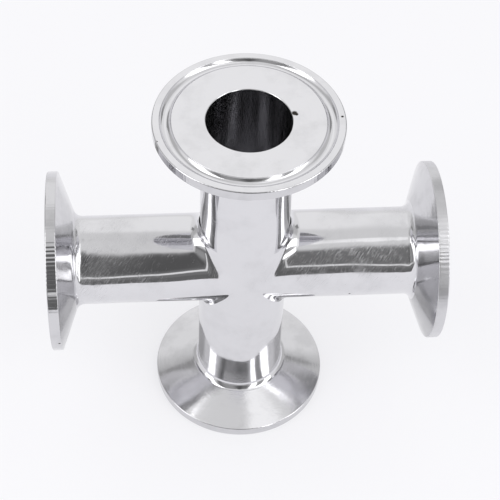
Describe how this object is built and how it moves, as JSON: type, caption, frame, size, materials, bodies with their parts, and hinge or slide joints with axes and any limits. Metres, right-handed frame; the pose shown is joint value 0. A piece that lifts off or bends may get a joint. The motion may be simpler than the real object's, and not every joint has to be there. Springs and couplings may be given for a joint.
{
  "type": "sanitary clamp cross",
  "caption": "Sanitary tube cross in polished stainless steel: crossing bores that open into clamp ferrules with gasket grooves.",
  "frame": {"origin": "crossing of the centre lines of run and branch, midway between opposite faces", "axes": "+Z along the upright run, towards its upper face; +X along the branch, towards its right end; +Y away from the viewer"},
  "size_m": [0.109, 0.0506, 0.109],
  "materials": {
    "polished_steel": "stainless steel, mirror-polished outside and on the clamp slopes, fine-turned on the sealing faces"
  },
  "bodies": {
    "root": {"clamp_cross": "polished_steel"}
  },
  "joints": []
}
